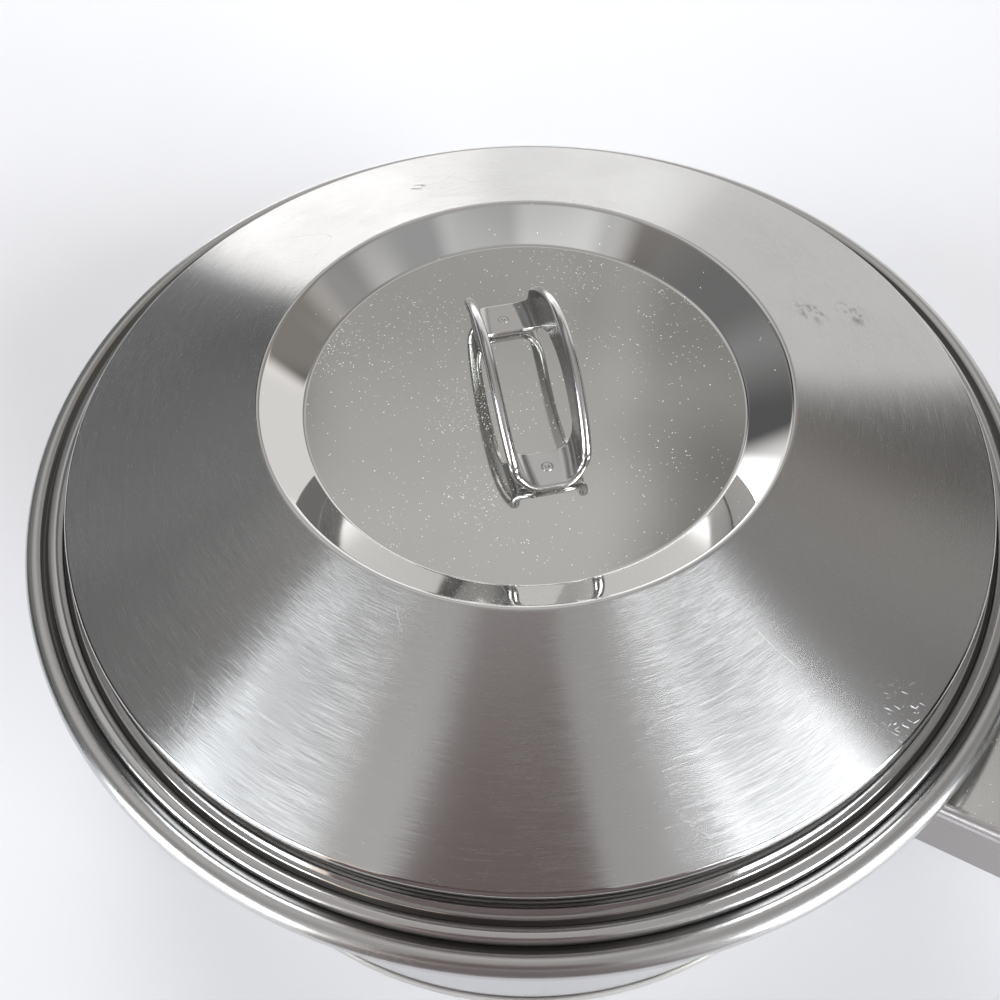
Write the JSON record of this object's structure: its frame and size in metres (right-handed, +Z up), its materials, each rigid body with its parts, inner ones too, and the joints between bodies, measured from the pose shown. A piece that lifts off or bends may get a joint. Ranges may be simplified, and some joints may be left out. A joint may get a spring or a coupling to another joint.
{
  "type": "cooking pot",
  "caption": "Round steel cooking pot with straight sides, flared rolled rim, sandwich base, long channel handle and a loose domed lid with a sunk centre and a bowed finger handle.",
  "frame": {"origin": "centre of the base on the surface that the pot stands on, on the pot's axis", "axes": "+Z up along the pot's axis, +X out along the long handle"},
  "size_m": [0.4386, 0.258, 0.1482],
  "materials": {
    "pot_steel": "satin outside, polished rim",
    "base_steel": "fine turned satin",
    "core_aluminium": "plain rolled",
    "handle_steel": "polished",
    "underplate_steel": "satin",
    "bracket_steel": "plain rolled",
    "lid_steel": "lathe-brushed cone, polished ring and centre",
    "grip_steel": "mirror polished",
    "stud_steel": "ground flush"
  },
  "bodies": {
    "pot": {"pot_body": "pot_steel", "base_cap": "base_steel", "base_core": "core_aluminium", "handle_shell": "handle_steel", "handle_underplate": "underplate_steel", "handle_bracket": "bracket_steel"},
    "lid": {"lid_shell": "lid_steel", "lid_handle": "grip_steel", "lid_handle_stud_1": "stud_steel", "lid_handle_stud_2": "stud_steel"}
  },
  "joints": [
    {"name": "lid_lift", "type": "slide", "parent": "pot", "child": "lid", "axis": [0, 0, 1], "range_m": [0, 0.15]}
  ]
}
